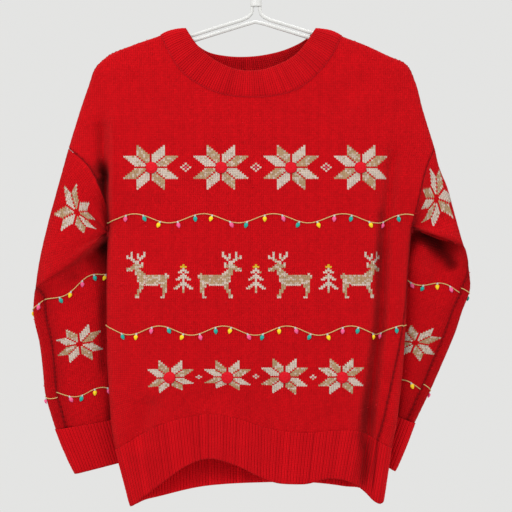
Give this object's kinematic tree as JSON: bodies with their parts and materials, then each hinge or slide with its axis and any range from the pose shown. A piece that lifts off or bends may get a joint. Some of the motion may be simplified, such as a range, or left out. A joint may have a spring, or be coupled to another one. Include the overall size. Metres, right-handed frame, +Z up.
{
  "type": "christmas sweater on a wire hanger",
  "caption": "Red knitted christmas sweater with crew neck, drop shoulders, long sleeves and ribbed edges, hung flat on a white wire hanger.",
  "frame": {"origin": "inner crown of the hanger's hook, where the rod carries it", "axes": "+Z up, -Y is the sweater's front, +X to the right of one who looks at the front"},
  "size_m": [0.582, 0.0826, 0.7379],
  "materials": {
    "knit_red": "matte knit",
    "rib_red": "matte rib",
    "berry_red": "felted knit",
    "wire_white": "smooth coating"
  },
  "bodies": {
    "root": {"front_panel": "knit_red", "back_panel": "knit_red", "sleeve_left": "knit_red", "sleeve_right": "knit_red", "neckband": "rib_red", "hem_rib_front": "rib_red", "hem_rib_back": "rib_red", "cuff_left": "rib_red", "cuff_right": "rib_red", "berry_1": "berry_red", "berry_2": "berry_red", "berry_3": "berry_red", "berry_4": "berry_red", "berry_5": "berry_red", "berry_6": "berry_red", "berry_7": "berry_red", "berry_8": "berry_red", "hanger_wire": "wire_white", "hanger_hook": "wire_white", "hanger_ferrule": "wire_white"}
  },
  "joints": []
}
